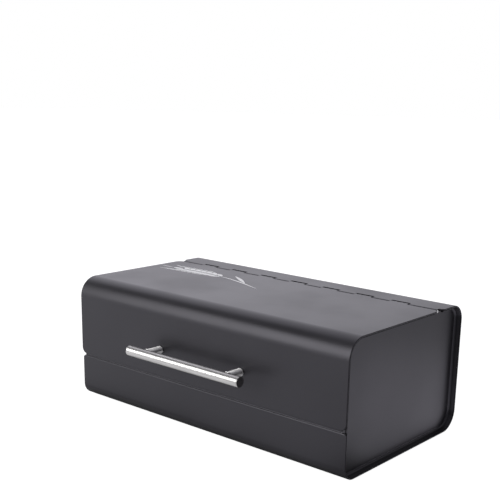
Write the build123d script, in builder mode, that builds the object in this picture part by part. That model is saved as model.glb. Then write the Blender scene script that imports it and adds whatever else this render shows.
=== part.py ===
from build123d import *
import os

# Bread box of painted sheet steel: a wrapped body, two recessed end panels and a lid on a long rear hinge.
# X runs to the right, Y to the back and Z up. The origin is on the table, under the middle of the box and
# its handle. All lengths are in millimetres.

# Overall sizes
box_width = 420.0
box_depth = 230.6  # face of the lid to the back
box_height = 156.0  # underside of the body to the top of the lid
sheet = 0.8
cut_overrun = 6.0

# Body wrap: front strip, floor, back and rear strip in one bent sheet
strip_height = 54.5  # underside of the body to the rolled edge of the front strip
strip_setback = 1.5  # the front strip lies this far behind the face of the lid
front_bottom_bend = 16.0
rear_bottom_bend = 24.0
rear_top_bend = 20.0
rear_strip_depth = 50.1  # hinge axis to the back
edge_fold = 6.0  # height of the fold along a rolled edge

# Hems at the two ends of the wrap, which hold the flanges of the end panels
hem_width = 4.0
seam_gap = 0.4  # above the panel's flange, where the lid has to clear it too
fold_gap = 0.1
fold_round_share = 0.95  # of the sheet, for the outside of a fold

# End panels: shallow pans, open to the outside
panel_recess = 8.2
panel_bend = 3.0
panel_clearance = 0.5  # to the rolled edge of the front strip and to the hinge

# Lid
lid_gap = 2.9  # between the lid and the front strip
lid_bend = 24.0
lid_rim_width = 4.0
lid_rim_clearance = 1.0
lid_rim_round_share = 0.48  # of the thickness of the rolled rim
lid_front_corner = 8.0
lid_rear_corner = 5.0

# Hinge
pin_radius = 1.55
pin_clearance = 0.05
pin_inset = 5.0  # end of the pin to the end of the box
pin_chamfer = 0.4
end_notch = 6.0  # end of the outermost tab to the end of the box
end_tab_width = 37.7
lid_tab_width = 25.0
lid_tab_count = 7
tab_gap = 0.5
rear_slot = 1.6  # behind the eyes of the lid
front_slit = 1.4  # in front of the eyes of the body

# Handle
handle_height = 90.4  # underside of the body to the axis of the bar
handle_standoff = 27.2  # face of the lid to the axis of the bar
bar_radius = 6.25
bar_wall = 1.2
bar_length = 176.0  # caps included
cap_thickness = 1.2
cap_plug = 6.0
cap_clearance = 0.1
cap_chamfer = 0.4
post_radius = 4.75
post_spacing = 128.0
weld_gap = 0.05

# Screws and washers behind the lid
screw_radius = 2.0
screw_reach = 11.0  # into the post
screw_clearance = 0.1
screw_hole_clearance = 0.25
screw_head_radius = 3.6
screw_head_height = 2.4
screw_head_round = 0.8
recess_length = 4.0
recess_width = 0.9
recess_depth = 1.3
washer_radius = 5.0
washer_thickness = 0.8

# Feet
foot_height = 2.0
foot_radius = 7.0
foot_round = 0.6
foot_margin = 6.0  # edge of a foot to the start of a bend
foot_side_inset = 30.0

# Places along Z
floor_z = foot_height
top_z = floor_z + box_height
strip_top_z = floor_z + strip_height
lid_low_z = strip_top_z + lid_gap
handle_z = floor_z + handle_height

# Places along Y
back_y = (box_depth + handle_standoff + bar_radius) / 2
lid_front_y = back_y - box_depth
strip_front_y = lid_front_y + strip_setback
bar_y = lid_front_y - handle_standoff
hinge_y = back_y - rear_strip_depth

# Places along X
end_x = box_width / 2
panel_x = end_x - panel_recess
flange_x = end_x - sheet - fold_gap
lid_flange_x = end_x - lid_rim_width - lid_rim_clearance
pin_end_x = end_x - pin_inset

# Hinge sizes
eye_bore = pin_radius + pin_clearance
eye_radius = eye_bore + sheet
hinge_z = top_z - eye_radius
rear_strip_edge_y = hinge_y + eye_radius + rear_slot
lid_rear_edge_y = hinge_y - eye_radius - front_slit
hinge_end_x = end_x - end_notch
lid_tab_run = 2 * (hinge_end_x - end_tab_width - tab_gap) - lid_tab_width
tab_pitch = lid_tab_run / (lid_tab_count - 1)
body_tab_width = tab_pitch - lid_tab_width - 2 * tab_gap

# Depths inwards from the outer face of the wrap
flange_inset = sheet + seam_gap
fold_inset = flange_inset + sheet + fold_gap
hem_depth = fold_inset + sheet
lid_rim_depth = 3 * sheet
hem_round = sheet * fold_round_share
lid_rim_round = lid_rim_depth * lid_rim_round_share


def at_x(x):
    """Return the plane across the box at x, with Y and Z as its own two directions."""
    return Plane.YZ.offset(x)


def at_y(y):
    """Return the plane along the box at y, which faces the front, with X and Z as its own two directions."""
    return Plane.XZ.offset(-y)


def wrap_line(inset):
    """Draw the wrap's profile, moved in by inset, from its edge behind the hinge to the front strip's edge."""
    front = strip_front_y + inset
    back = back_y - inset
    low = floor_z + inset
    high = top_z - inset
    return FilletPolyline(
        (rear_strip_edge_y, high),
        (back, high),
        (back, low),
        (front, low),
        (front, strip_top_z),
        radius=[rear_top_bend - inset, rear_bottom_bend - inset, front_bottom_bend - inset],
    )


def lid_line(inset):
    """Draw the lid's profile, moved in by inset, from its rear edge to its lower edge."""
    front = lid_front_y + inset
    high = top_z - inset
    return FilletPolyline(
        (lid_rear_edge_y, high),
        (front, high),
        (front, lid_low_z),
        radius=lid_bend - inset,
    )


def section_between(profile, outer_inset, inner_inset, x):
    """Return the section between two insets of a profile, on the plane at x."""
    with BuildSketch(at_x(x)) as section:
        with BuildLine():
            outer = profile(outer_inset)
            inner = profile(inner_inset)
            Line(outer @ 0, inner @ 0)
            Line(outer @ 1, inner @ 1)
        make_face()
    return section.sketch


def panel_section(inset, x):
    """Return the area inside the end panel's outline, moved in by inset from the wrap, on the plane at x."""
    front = strip_front_y + inset
    back = back_y - inset
    low = floor_z + inset
    high = top_z - inset
    with BuildSketch(at_x(x)) as section:
        with BuildLine():
            FilletPolyline(
                (front, low),
                (front, high),
                (back, high),
                (back, low),
                radius=[
                    front_bottom_bend - inset,
                    lid_bend - inset,
                    rear_top_bend - inset,
                    rear_bottom_bend - inset,
                ],
                close=True,
            )
        make_face()
    return section.sketch


def rectangle_between(plane, low_corner, high_corner):
    """Return the rectangle between two corners on a plane."""
    middle = ((low_corner[0] + high_corner[0]) / 2, (low_corner[1] + high_corner[1]) / 2)
    with BuildSketch(plane) as area:
        with Locations(middle):
            Rectangle(high_corner[0] - low_corner[0], high_corner[1] - low_corner[1])
    return area.sketch


def disc(plane, centre, radius):
    """Return a disc on a plane."""
    with BuildSketch(plane) as area:
        with Locations(centre):
            Circle(radius)
    return area.sketch


def corner_sliver(plane, corner, inward, radius):
    """Return what a rounded corner leaves off a square one, on a plane."""
    centre = (corner[0] + inward[0] * radius, corner[1] + inward[1] * radius)
    middle = ((corner[0] + centre[0]) / 2, (corner[1] + centre[1]) / 2)
    with BuildSketch(plane) as area:
        with Locations(middle):
            Rectangle(radius, radius)
        with Locations(centre):
            Circle(radius, mode=Mode.SUBTRACT)
    return area.sketch


def hinge_tab_section(sheet_edge_y, x):
    """Return the section of a hinge tab at x: a rolled eye, and the flat that joins it to its sheet."""
    flat_middle = ((hinge_y + sheet_edge_y) / 2, top_z - sheet / 2)
    with BuildSketch(at_x(x)) as section:
        with Locations((hinge_y, hinge_z)):
            Circle(eye_radius)
        with Locations(flat_middle):
            Rectangle(abs(sheet_edge_y - hinge_y), sheet)
        with Locations((hinge_y, hinge_z)):
            Circle(eye_bore, mode=Mode.SUBTRACT)
    return section.sketch


os.makedirs("parts", exist_ok=True)

# Where the hinge tabs of the lid start, and where those of the body start and how wide they are
first_tab_start = -(lid_tab_run + lid_tab_width) / 2
lid_tab_starts = [first_tab_start + index * tab_pitch for index in range(lid_tab_count)]
body_tabs = [(start + lid_tab_width + tab_gap, body_tab_width) for start in lid_tab_starts[:-1]]
body_tabs += [(-hinge_end_x, end_tab_width), (hinge_end_x - end_tab_width, end_tab_width)]

# The wrapped body: sheet, rolled front edge, end hems and hinge eyes
with BuildPart() as body_wrap:
    extrude(section_between(wrap_line, 0, sheet, 0), amount=end_x, both=True)
    fold_corners = (strip_front_y, strip_top_z - edge_fold), (strip_front_y + 2 * sheet, strip_top_z)
    extrude(rectangle_between(at_x(0), *fold_corners), amount=end_x, both=True)
    for side in (-1, 1):
        hem_start_x = side * (end_x - hem_width)
        turn_start_x = side * (end_x - sheet)
        extrude(section_between(wrap_line, fold_inset, hem_depth, hem_start_x), amount=side * hem_width)
        extrude(section_between(wrap_line, 0, hem_depth, turn_start_x), amount=side * sheet)
    for end in (0, -1):
        end_face = faces().filter_by(Axis.X).sort_by(Axis.X)[end]
        fillet(end_face.edges().filter_by(lambda edge: edge.length > hem_depth), radius=hem_round)
    for start, width in body_tabs:
        extrude(hinge_tab_section(rear_strip_edge_y, start), amount=width)
body_wrap.part.label = "body_wrap"
export_step(body_wrap.part, "parts/body_wrap.step")

# The right end panel: a pan whose flange lies in the hem of the wrap and, further up, under the lid
with BuildPart() as panel_hollow:
    extrude(panel_section(flange_inset + sheet, panel_x), amount=panel_recess)
    fillet(faces().sort_by(Axis.X)[0].edges(), radius=panel_bend)

with BuildPart() as right_end_panel:
    extrude(panel_section(flange_inset, panel_x - sheet), amount=flange_x - panel_x + sheet)
    fillet(faces().sort_by(Axis.X)[0].edges(), radius=panel_bend + sheet)
    add(panel_hollow.part, mode=Mode.SUBTRACT)
    extrude(
        rectangle_between(at_x(lid_flange_x), (lid_front_y, strip_top_z), (rear_strip_edge_y, top_z)),
        amount=panel_recess,
        mode=Mode.SUBTRACT,
    )
    edge_fold_y = strip_front_y + 2 * sheet + panel_clearance
    edge_fold_z = strip_top_z - edge_fold - panel_clearance
    extrude(
        rectangle_between(at_x(end_x), (lid_front_y, edge_fold_z), (edge_fold_y, lid_low_z)),
        amount=-end_x,
        mode=Mode.SUBTRACT,
    )
    extrude(
        rectangle_between(
            at_x(end_x),
            (lid_rear_edge_y - panel_clearance, hinge_z - eye_radius - panel_clearance),
            (rear_strip_edge_y + panel_clearance, top_z),
        ),
        amount=-end_x,
        mode=Mode.SUBTRACT,
    )
right_end_panel.part.label = "right_end_panel"
export_step(right_end_panel.part, "parts/right_end_panel.step")

# The left end panel is its mirror image
with BuildPart() as left_end_panel:
    mirror(right_end_panel.part, about=Plane.YZ)
left_end_panel.part.label = "left_end_panel"
export_step(left_end_panel.part, "parts/left_end_panel.step")

# The lid: top and front in one bent sheet, with rolled sides, a folded lower edge and hinge eyes
with BuildPart() as lid:
    extrude(section_between(lid_line, 0, sheet, 0), amount=end_x, both=True)
    for side in (-1, 1):
        rim_start_x = side * (end_x - lid_rim_width)
        extrude(section_between(lid_line, 0, lid_rim_depth, rim_start_x), amount=side * lid_rim_width)
    for end in (0, -1):
        end_face = faces().filter_by(Axis.X).sort_by(Axis.X)[end]
        fillet(end_face.edges().filter_by(lambda edge: edge.length > lid_rim_depth), radius=lid_rim_round)
    fold_corners = (lid_front_y, lid_low_z), (lid_front_y + 2 * sheet, lid_low_z + edge_fold)
    extrude(rectangle_between(at_x(0), *fold_corners), amount=end_x - lid_rim_width, both=True)
    for side in (-1, 1):
        rear_corner = (side * end_x, lid_rear_edge_y)
        front_corner = (side * end_x, lid_low_z)
        extrude(
            corner_sliver(Plane.XY.offset(top_z), rear_corner, (-side, -1), lid_rear_corner),
            amount=-lid_rim_depth,
            mode=Mode.SUBTRACT,
        )
        extrude(
            corner_sliver(at_y(lid_front_y), front_corner, (-side, 1), lid_front_corner),
            amount=-lid_rim_depth,
            mode=Mode.SUBTRACT,
        )
    for start in lid_tab_starts:
        extrude(hinge_tab_section(lid_rear_edge_y, start), amount=lid_tab_width)
    for side in (-1, 1):
        hole_centre = (side * post_spacing / 2, handle_z)
        extrude(
            disc(at_y(lid_front_y), hole_centre, screw_radius + screw_hole_clearance),
            amount=-sheet,
            mode=Mode.SUBTRACT,
        )
lid.part.label = "lid"
export_step(lid.part, "parts/lid.step")

# The hinge pin, fixed in the eyes of the body
with BuildPart() as hinge_pin:
    extrude(disc(at_x(0), (hinge_y, hinge_z), pin_radius), amount=pin_end_x, both=True)
    chamfer(edges().filter_by(GeomType.CIRCLE), length=pin_chamfer)
hinge_pin.part.label = "hinge_pin"
export_step(hinge_pin.part, "parts/hinge_pin.step")

# The handle's bar, a tube
bar_half = bar_length / 2 - cap_thickness
bar_bore = bar_radius - bar_wall
with BuildPart() as handle_bar:
    extrude(disc(at_x(0), (bar_y, handle_z), bar_radius), amount=bar_half, both=True)
    extrude(disc(at_x(0), (bar_y, handle_z), bar_bore), amount=bar_half, both=True, mode=Mode.SUBTRACT)
handle_bar.part.label = "handle_bar"
export_step(handle_bar.part, "parts/handle_bar.step")

# A flat cap in each end of the bar, and a post behind it on each side
for side, side_name in ((-1, "left"), (1, "right")):
    bar_end = at_x(side * bar_half)
    with BuildPart() as handle_cap:
        extrude(disc(bar_end, (bar_y, handle_z), bar_radius), amount=side * cap_thickness)
        chamfer(edges().sort_by(Axis.X)[-1 if side > 0 else 0], length=cap_chamfer)
        extrude(disc(bar_end, (bar_y, handle_z), bar_bore - cap_clearance), amount=-side * cap_plug)
    handle_cap.part.label = side_name + "_handle_cap"
    export_step(handle_cap.part, "parts/" + side_name + "_handle_cap.step")

    post_centre = (side * post_spacing / 2, handle_z)
    with BuildPart() as handle_post:
        extrude(disc(at_y(lid_front_y), post_centre, post_radius), amount=handle_standoff)
        extrude(
            disc(at_y(lid_front_y), post_centre, screw_radius + screw_clearance),
            amount=screw_reach + screw_clearance,
            mode=Mode.SUBTRACT,
        )
        extrude(
            disc(at_x(post_centre[0]), (bar_y, handle_z), bar_radius + weld_gap),
            amount=post_radius + cut_overrun,
            both=True,
            mode=Mode.SUBTRACT,
        )
    handle_post.part.label = side_name + "_handle_post"
    export_step(handle_post.part, "parts/" + side_name + "_handle_post.step")

# The two screws that hold the posts from inside the lid, and their washers
lid_back_y = lid_front_y + sheet
head_seat_y = lid_back_y + washer_thickness
head_top_y = head_seat_y + screw_head_height
with BuildPart() as handle_screws:
    for side in (-1, 1):
        centre = (side * post_spacing / 2, handle_z)
        extrude(disc(at_y(head_seat_y), centre, screw_head_radius), amount=-screw_head_height)
    fillet(edges().group_by(Axis.Y)[-1], radius=screw_head_round)
    for side in (-1, 1):
        centre = (side * post_spacing / 2, handle_z)
        shank_length = washer_thickness + sheet + screw_reach
        extrude(disc(at_y(head_seat_y), centre, screw_radius), amount=shank_length)
        with BuildSketch(at_y(head_top_y)) as recess:
            with Locations(centre):
                Rectangle(recess_length, recess_width)
                Rectangle(recess_width, recess_length)
        extrude(amount=recess_depth, mode=Mode.SUBTRACT)
handle_screws.part.label = "handle_screws"
export_step(handle_screws.part, "parts/handle_screws.step")

with BuildPart() as handle_washers:
    for side in (-1, 1):
        centre = (side * post_spacing / 2, handle_z)
        with BuildSketch(at_y(lid_back_y)):
            with Locations(centre):
                Circle(washer_radius)
                Circle(screw_radius + screw_hole_clearance, mode=Mode.SUBTRACT)
        extrude(amount=-washer_thickness)
handle_washers.part.label = "handle_washers"
export_step(handle_washers.part, "parts/handle_washers.step")

# Four rubber feet under the flat of the floor
foot_x = end_x - foot_side_inset
front_foot_y = strip_front_y + front_bottom_bend + foot_margin + foot_radius
rear_foot_y = back_y - rear_bottom_bend - foot_margin - foot_radius
foot_places = {
    "front_left_foot": (-foot_x, front_foot_y),
    "front_right_foot": (foot_x, front_foot_y),
    "rear_left_foot": (-foot_x, rear_foot_y),
    "rear_right_foot": (foot_x, rear_foot_y),
}
for foot_name, foot_place in foot_places.items():
    with BuildPart() as foot:
        extrude(disc(Plane.XY, foot_place, foot_radius), amount=foot_height)
        fillet(edges().group_by(Axis.Z)[0], radius=foot_round)
    foot.part.label = foot_name
    export_step(foot.part, "parts/" + foot_name + ".step")
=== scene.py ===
"""Dressed model of a sheet steel bread box with a hinged lid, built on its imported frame.

Every length is in metres. X runs to the right, Y to the back and Z up, as in the frame.
"""

import logging
import math
from collections.abc import Callable, Iterable, Sequence
from dataclasses import dataclass
from enum import Enum
from itertools import pairwise

import bmesh
import bpy
from mathutils import Matrix, Vector


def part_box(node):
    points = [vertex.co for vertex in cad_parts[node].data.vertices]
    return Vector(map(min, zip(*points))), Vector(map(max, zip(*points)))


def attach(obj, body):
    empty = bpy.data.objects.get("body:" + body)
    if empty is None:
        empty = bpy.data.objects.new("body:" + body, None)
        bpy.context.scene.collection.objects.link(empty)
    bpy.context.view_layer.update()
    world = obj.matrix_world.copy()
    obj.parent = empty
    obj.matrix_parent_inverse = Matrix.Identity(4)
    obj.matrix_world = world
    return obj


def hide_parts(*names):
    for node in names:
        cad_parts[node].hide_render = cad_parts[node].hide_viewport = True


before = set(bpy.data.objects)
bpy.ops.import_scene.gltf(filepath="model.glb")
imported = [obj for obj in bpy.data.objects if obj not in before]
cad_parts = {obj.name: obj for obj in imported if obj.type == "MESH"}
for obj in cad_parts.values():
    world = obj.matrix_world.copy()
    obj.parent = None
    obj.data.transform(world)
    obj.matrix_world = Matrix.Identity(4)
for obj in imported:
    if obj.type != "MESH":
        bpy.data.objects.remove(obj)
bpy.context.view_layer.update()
log = logging.getLogger("bread_box")

Mesh = bmesh.types.BMesh
Edge = bmesh.types.BMEdge
Vert = bmesh.types.BMVert
Socket = bpy.types.NodeSocket
Pair = tuple[float, float]
Triple = tuple[float, float, float]
Path = list[Pair]

ALONG = Vector((1.0, 0.0, 0.0))
BACK = Vector((0.0, 1.0, 0.0))
UP = Vector((0.0, 0.0, 1.0))
TOUCH = 1e-6
QUARTER = math.pi / 2
SHARP_TURN = math.radians(38.0)
EVEN: Triple = (1.0, 1.0, 1.0)


class Body(Enum):
    """The two bodies of the frame that a piece can ride on."""

    BOX = "box"
    LID = "lid"


class Slot(Enum):
    """The material slots of the record."""

    PAINT = "paint"
    PIN_STEEL = "pin_steel"
    HANDLE_STEEL = "handle_steel"
    FASTENER_STEEL = "fastener_steel"
    FOOT_RUBBER = "foot_rubber"


class End(Enum):
    """The two ends of the box, each with its sign along X."""

    LEFT = -1
    RIGHT = 1

    @property
    def word(self) -> str:
        """Return the word that names of pieces use for this end."""
        return self.name.lower()


class NodeSheet:
    """A node tree, with short calls that place nodes and join them."""

    def __init__(self, tree: bpy.types.NodeTree) -> None:
        """Keep the tree and clear what Blender put in it."""
        self.tree = tree
        self.tree.nodes.clear()

    def fill(self, socket: Socket, value: object) -> None:
        """Fill one input.

        Args:
            socket: the input.
            value: a plain value, or the output socket of another node.
        """
        if isinstance(value, bpy.types.NodeSocket):
            self.tree.links.new(value, socket)
        else:
            socket.default_value = value

    def place(self, kind: str, values: dict | None = None, **settings: object) -> bpy.types.Node:
        """Place one node.

        Args:
            kind: Blender's name for the node type.
            values: what goes into its inputs, by name or number.
            settings: properties of the node itself.

        Returns:
            The new node.
        """
        made = self.tree.nodes.new(kind)
        for key, value in settings.items():
            setattr(made, key, value)
        for key, value in (values or {}).items():
            self.fill(made.inputs[key], value)
        return made

    def object_place(self, scale: Triple) -> Socket:
        """Return object coordinates, stretched by a scale along each direction."""
        place = self.place("ShaderNodeTexCoord").outputs["Object"]
        return self.place("ShaderNodeMapping", {"Vector": place, "Scale": scale}).outputs["Vector"]

    def spread(self, value: Socket, low: float, high: float) -> Socket:
        """Return a value between nought and one, spread over a range from low to high."""
        ranged = self.place("ShaderNodeMapRange", {"Value": value, "To Min": low, "To Max": high})
        return ranged.outputs["Result"]

    def ramp(self, value: Socket, low: float, high: float) -> Socket:
        """Return a soft rise from nought to one as a value goes from low to high."""
        values = {"Value": value, "From Min": low, "From Max": high}
        return self.place("ShaderNodeMapRange", values, interpolation_type="SMOOTHSTEP").outputs["Result"]

    def blend(self, factor: Socket, first: Triple | Socket, second: Triple | Socket) -> Socket:
        """Blend two colours.

        Args:
            factor: nought for the first colour, one for the second.
            first: the first colour.
            second: the second colour.

        Returns:
            The blended colour.
        """
        mix = self.place("ShaderNodeMix", {"Factor": factor}, data_type="RGBA")
        ends = [socket for socket in mix.inputs if socket.type == "RGBA"]
        for end, colour in zip(ends, (first, second)):
            self.fill(end, colour if isinstance(colour, bpy.types.NodeSocket) else (*colour, 1.0))
        return next(socket for socket in mix.outputs if socket.type == "RGBA")

    def distance(self, place: Socket, point: Triple) -> Socket:
        """Return the distance of a place from a point."""
        apart = self.place("ShaderNodeVectorMath", {0: place, 1: point}, operation="DISTANCE")
        return apart.outputs["Value"]

    def square_distance(self, place: Socket, point: Triple) -> Socket:
        """Measure from a point in squares.

        Args:
            place: the place that is measured to.
            point: the point that is measured from.

        Returns:
            The larger of the distances along X and along Y.
        """
        apart = self.place("ShaderNodeVectorMath", {0: place, 1: point}, operation="SUBTRACT")
        sizes = self.place("ShaderNodeVectorMath", {0: apart.outputs["Vector"]}, operation="ABSOLUTE")
        split = self.place("ShaderNodeSeparateXYZ", {"Vector": sizes.outputs["Vector"]}).outputs
        larger = self.place("ShaderNodeMath", {0: split["X"], 1: split["Y"]}, operation="MAXIMUM")
        return larger.outputs["Value"]


@dataclass(frozen=True)
class NoiseMask:
    """How a shared effect makes noise and cuts a soft mask out of it."""

    fineness: float
    roughness: float
    low: float
    high: float


class Effect(Enum):
    """The shader node groups that the finishes share, each built once."""

    FINE_GRAIN = NoiseMask(2.0, 0.5, 0.35, 0.65)
    SLOW_CLOUDS = NoiseMask(3.0, 0.55, 0.3, 0.7)

    def group(self) -> bpy.types.NodeTree:
        """Build this effect's group the first time that it is asked for.

        Returns:
            The group.
        """
        name = self.name.lower()
        if name not in bpy.data.node_groups:
            self.build(bpy.data.node_groups.new(name, "ShaderNodeTree"))
        return bpy.data.node_groups[name]

    def build(self, tree: bpy.types.NodeTree) -> None:
        """Build the effect.

        Args:
            tree: the empty group.
        """
        sheet = NodeSheet(tree)
        tree.interface.new_socket("Vector", in_out="INPUT", socket_type="NodeSocketVector")
        for key in ("Scale", "Fineness"):
            tree.interface.new_socket(key, in_out="INPUT", socket_type="NodeSocketFloat")
        for key in ("Height", "Mask"):
            tree.interface.new_socket(key, in_out="OUTPUT", socket_type="NodeSocketFloat")
        entry = sheet.place("NodeGroupInput").outputs
        values = {"Vector": entry["Vector"], "Scale": entry["Scale"], "Detail": entry["Fineness"]}
        noise = sheet.place("ShaderNodeTexNoise", {**values, "Roughness": self.value.roughness})
        mask = sheet.ramp(noise.outputs["Fac"], self.value.low, self.value.high)
        sheet.place("NodeGroupOutput", {"Height": noise.outputs["Fac"], "Mask": mask})


def new_material(name: str, shade: Callable[[NodeSheet], bpy.types.Node]) -> bpy.types.Material:
    """Make a material.

    Args:
        name: its name.
        shade: places its nodes in a node sheet and returns the shader.

    Returns:
        The new material.
    """
    made = bpy.data.materials.new(name)
    made.use_nodes = True
    sheet = NodeSheet(made.node_tree)
    shader = shade(sheet)
    sheet.place("ShaderNodeOutputMaterial", {"Surface": shader.outputs["BSDF"]})
    return made


@dataclass(frozen=True)
class Finish:
    """A material that is built once and then shared by the pieces that wear it.

    Its colour and its roughness each follow one of the shared effects, and its grain gives the bump.
    """

    name: str
    deep: Triple
    pale: Triple
    smooth: float
    rough: float
    cloud_scale: float
    grain_scale: float
    grain_depth: float
    grain_fineness: float = Effect.FINE_GRAIN.value.fineness
    stretch: Triple = EVEN
    colour_by: Effect = Effect.SLOW_CLOUDS
    rough_by: Effect = Effect.SLOW_CLOUDS

    def material(self) -> bpy.types.Material:
        """Return this finish as a Blender material, built the first time."""
        return bpy.data.materials.get(self.name) or new_material(self.name, self.shade)

    def shade(self, sheet: NodeSheet) -> bpy.types.Node:
        """Place this finish's nodes.

        Args:
            sheet: the material's node sheet.

        Returns:
            The shader.
        """
        outputs = {}
        for effect, stretch, scale, fineness in (
            (Effect.SLOW_CLOUDS, EVEN, self.cloud_scale, Effect.SLOW_CLOUDS.value.fineness),
            (Effect.FINE_GRAIN, self.stretch, self.grain_scale, self.grain_fineness),
        ):
            values = {"Vector": sheet.object_place(stretch), "Scale": scale, "Fineness": fineness}
            outputs[effect] = sheet.place("ShaderNodeGroup", values, node_tree=effect.group()).outputs
        height = outputs[Effect.FINE_GRAIN]["Height"]
        relief = {"Height": height, "Distance": self.grain_depth, "Strength": 1.0}
        bump = sheet.place("ShaderNodeBump", relief)
        surface = {
            "Base Color": sheet.blend(outputs[self.colour_by]["Mask"], self.deep, self.pale),
            "Roughness": sheet.spread(outputs[self.rough_by]["Mask"], self.smooth, self.rough),
            "Normal": bump.outputs["Normal"],
        }
        return sheet.place("ShaderNodeBsdfPrincipled", surface | self.own_values(sheet))

    def own_values(self, sheet: NodeSheet) -> dict[str, object]:
        """Return what else goes on the shader's sockets, which is nothing for a plain finish."""
        return {}


@dataclass(frozen=True)
class SatinPaint(Finish):
    """A baked satin coat on steel: dark, faintly orange peeled, not quite even."""

    name: str = "satin_paint"
    deep: Triple = (0.0065, 0.0062, 0.0074)
    pale: Triple = (0.0085, 0.0081, 0.0096)
    smooth: float = 0.34
    rough: float = 0.40
    cloud_scale: float = 9.0
    grain_scale: float = 950.0
    grain_depth: float = 0.000012
    refraction: float = 1.5
    gloss_tint: tuple[float, float, float, float] = (0.93, 0.90, 1.0, 1.0)

    def own_values(self, sheet: NodeSheet) -> dict[str, object]:
        """Return the refraction of the coat and the tint of its gloss."""
        return {"IOR": self.refraction, "Specular Tint": self.gloss_tint}


@dataclass(frozen=True)
class BrushedSteel(Finish):
    """Stainless steel with fine lines drawn along one direction."""

    name: str = "brushed_steel"
    deep: Triple = (0.56, 0.55, 0.535)
    pale: Triple = (0.74, 0.73, 0.71)
    smooth: float = 0.32
    rough: float = 0.37
    cloud_scale: float = 40.0
    grain_scale: float = 1900.0
    grain_depth: float = 0.000002
    grain_fineness: float = 3.0
    stretch: Triple = (0.02, 1.0, 1.0)
    colour_by: Effect = Effect.FINE_GRAIN
    spread: float = 1.0
    axis: Triple = (1.0, 0.0, 0.0)

    def own_values(self, sheet: NodeSheet) -> dict[str, object]:
        """Return the values of a metal with reflections spread along its axis.

        Args:
            sheet: the material's node sheet.

        Returns:
            The values by the names of the shader's sockets.
        """
        along = sheet.place(
            "ShaderNodeVectorTransform",
            {"Vector": self.axis},
            vector_type="VECTOR",
            convert_from="OBJECT",
            convert_to="WORLD",
        )
        return {"Metallic": 1.0, "Anisotropic": self.spread, "Tangent": along.outputs["Vector"]}


@dataclass(frozen=True)
class FootRubber(Finish):
    """Matt black moulded rubber with a dusty bloom."""

    name: str = "moulded_rubber"
    deep: Triple = (0.012, 0.012, 0.012)
    pale: Triple = (0.030, 0.030, 0.031)
    smooth: float = 0.66
    rough: float = 0.82
    cloud_scale: float = 120.0
    grain_scale: float = 2200.0
    grain_depth: float = 0.00003
    grain_fineness: float = 3.0
    rough_by: Effect = Effect.FINE_GRAIN


@dataclass(frozen=True)
class PrintInk(Finish):
    """A thin white print on the paint."""

    name: str = "print_ink"
    deep: Triple = (0.80, 0.80, 0.80)
    pale: Triple = (0.90, 0.90, 0.89)
    smooth: float = 0.40
    rough: float = 0.50
    cloud_scale: float = 160.0
    grain_scale: float = 950.0
    grain_depth: float = 0.000012


PAINT = SatinPaint()
HANDLE_STEEL = BrushedSteel()
CAP_STEEL = BrushedSteel(
    name="faced_steel",
    deep=(0.50, 0.49, 0.48),
    pale=(0.66, 0.65, 0.63),
    smooth=0.14,
    rough=0.20,
    spread=0.0,
)
PIN_STEEL = BrushedSteel(
    name="drawn_pin_steel",
    deep=(0.80, 0.80, 0.79),
    pale=(0.92, 0.92, 0.91),
    smooth=0.18,
    rough=0.30,
    spread=0.0,
    grain_scale=2600.0,
)
FASTENER_STEEL = BrushedSteel(
    name="plated_steel",
    deep=(0.52, 0.52, 0.53),
    pale=(0.64, 0.65, 0.67),
    smooth=0.20,
    rough=0.34,
    spread=0.0,
    stretch=EVEN,
    grain_scale=1400.0,
)
POST_STEEL = BrushedSteel(
    name="turned_steel",
    deep=(0.84, 0.83, 0.82),
    pale=(0.94, 0.93, 0.92),
    smooth=0.39,
    rough=0.43,
    axis=(0.0, 1.0, 0.0),
    stretch=(0.02, 1.0, 0.02),
    grain_scale=1600.0,
)
RUBBER = FootRubber()
INK = PrintInk()


@dataclass(frozen=True)
class SweepRoot:
    """Where a swept edge starts at one vertex, and the two directions that it is swept in."""

    place: Vector
    outwards: Vector
    normal: Vector


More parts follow.
